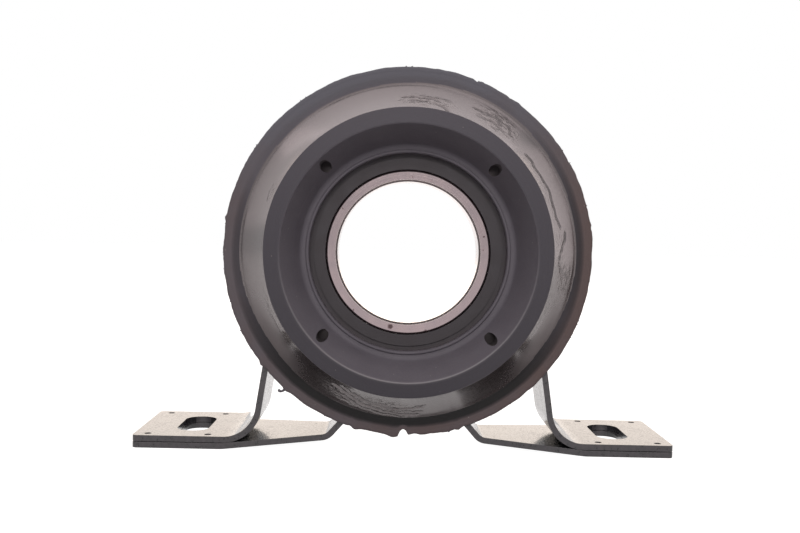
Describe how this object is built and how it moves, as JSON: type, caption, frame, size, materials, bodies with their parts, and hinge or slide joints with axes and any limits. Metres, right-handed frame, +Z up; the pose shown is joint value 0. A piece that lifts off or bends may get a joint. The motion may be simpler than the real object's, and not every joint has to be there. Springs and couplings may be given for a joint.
{
  "type": "driveshaft centre bearing",
  "caption": "Sealed ball bearing in a crested rubber boss, held by an omega strap over a cradle strap with slotted feet; carries the middle of a two-piece driveshaft.",
  "frame": {"origin": "centre of the shaft bore, midway along the bearing's width", "axes": "+Y along the shaft away from the crested front of the boss, +X across the two feet, +Z up from the feet"},
  "size_m": [0.1756, 0.0607, 0.124],
  "materials": {
    "strap_paint": "thin black dip paint with fine orange peel, glossy at a low angle",
    "boss_rubber": "moulded black rubber, matt with a smooth flank and torn flash on the rim",
    "seal_rubber": "smooth dark seal rubber",
    "ring_steel": "ground bearing steel",
    "ball_steel": "polished bearing steel",
    "cage_plastic": "natural glass-filled nylon"
  },
  "bodies": {
    "bracket": {"upper_strap": "strap_paint", "cradle_strap": "strap_paint", "rubber_boss": "boss_rubber", "outer_ring": "ring_steel", "front_seal": "seal_rubber", "rear_seal": "seal_rubber"},
    "shaft_ring": {"inner_ring": "ring_steel"},
    "ball_set": {"ball_cage": "cage_plastic", "ball_01": "ball_steel", "ball_02": "ball_steel", "ball_03": "ball_steel", "ball_04": "ball_steel", "ball_05": "ball_steel", "ball_06": "ball_steel", "ball_07": "ball_steel", "ball_08": "ball_steel", "ball_09": "ball_steel", "ball_10": "ball_steel", "ball_11": "ball_steel", "ball_12": "ball_steel", "ball_13": "ball_steel", "ball_14": "ball_steel", "ball_15": "ball_steel", "ball_16": "ball_steel"}
  },
  "joints": [
    {"name": "shaft_spin", "type": "hinge", "parent": "bracket", "child": "shaft_ring", "pos_m": [0, 0, 0], "axis": [0, 1, 0], "continuous": true},
    {"name": "ball_orbit", "type": "hinge", "parent": "bracket", "child": "ball_set", "pos_m": [0, 0, 0], "axis": [0, 1, 0], "continuous": true}
  ],
  "couplings": [
    {"joint": "ball_orbit", "follows": "shaft_spin", "ratio": 0.44026}
  ]
}
